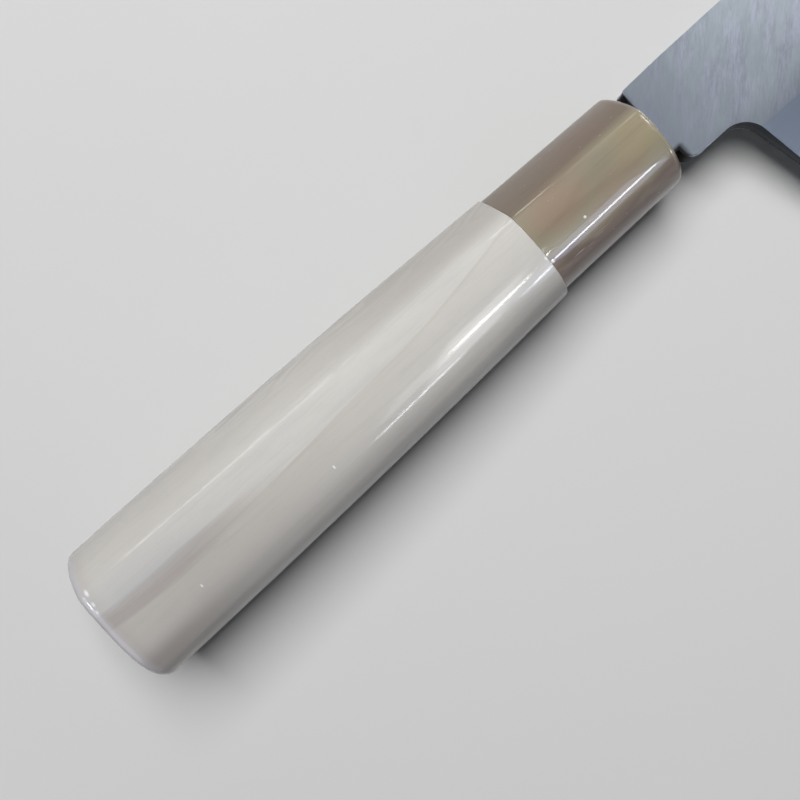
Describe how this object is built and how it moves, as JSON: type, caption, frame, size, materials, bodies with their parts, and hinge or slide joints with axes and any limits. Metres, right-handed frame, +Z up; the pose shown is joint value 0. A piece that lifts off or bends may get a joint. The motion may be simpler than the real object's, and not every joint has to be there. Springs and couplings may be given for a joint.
{
  "type": "kamagata usuba knife",
  "caption": "Single-bevel vegetable knife with a straight edge and a sickle-shaped tip, on a D-section magnolia handle with a polished horn ferrule, lying on its back face.",
  "frame": {"origin": "middle of the bounding box at table level, the lowest point of the knife lying on its back", "axes": "+X from the butt to the tip, +Y to the spine, +Z up. The knife lies as it rests on a table, so its own axes are turned 2.0 degrees nose down and 1.0 degree about its length. They start at mount butt_face, with X against that mount's axis and Z against the axis of ura_rim."},
  "size_m": [0.3528, 0.0518, 0.0251],
  "materials": {
    "soft_iron": "fine brushed lines across the flat, smooth bevel",
    "edge_steel": "bright, finely polished",
    "buffalo_horn": "polished brown and olive horn, marbled",
    "magnolia_wood": "pale, close-grained, smooth and slightly glossy"
  },
  "bodies": {
    "root": {"blade_cladding": "soft_iron", "blade_edge_steel": "edge_steel", "horn_ferrule": "buffalo_horn", "magnolia_handle": "magnolia_wood"}
  },
  "joints": []
}
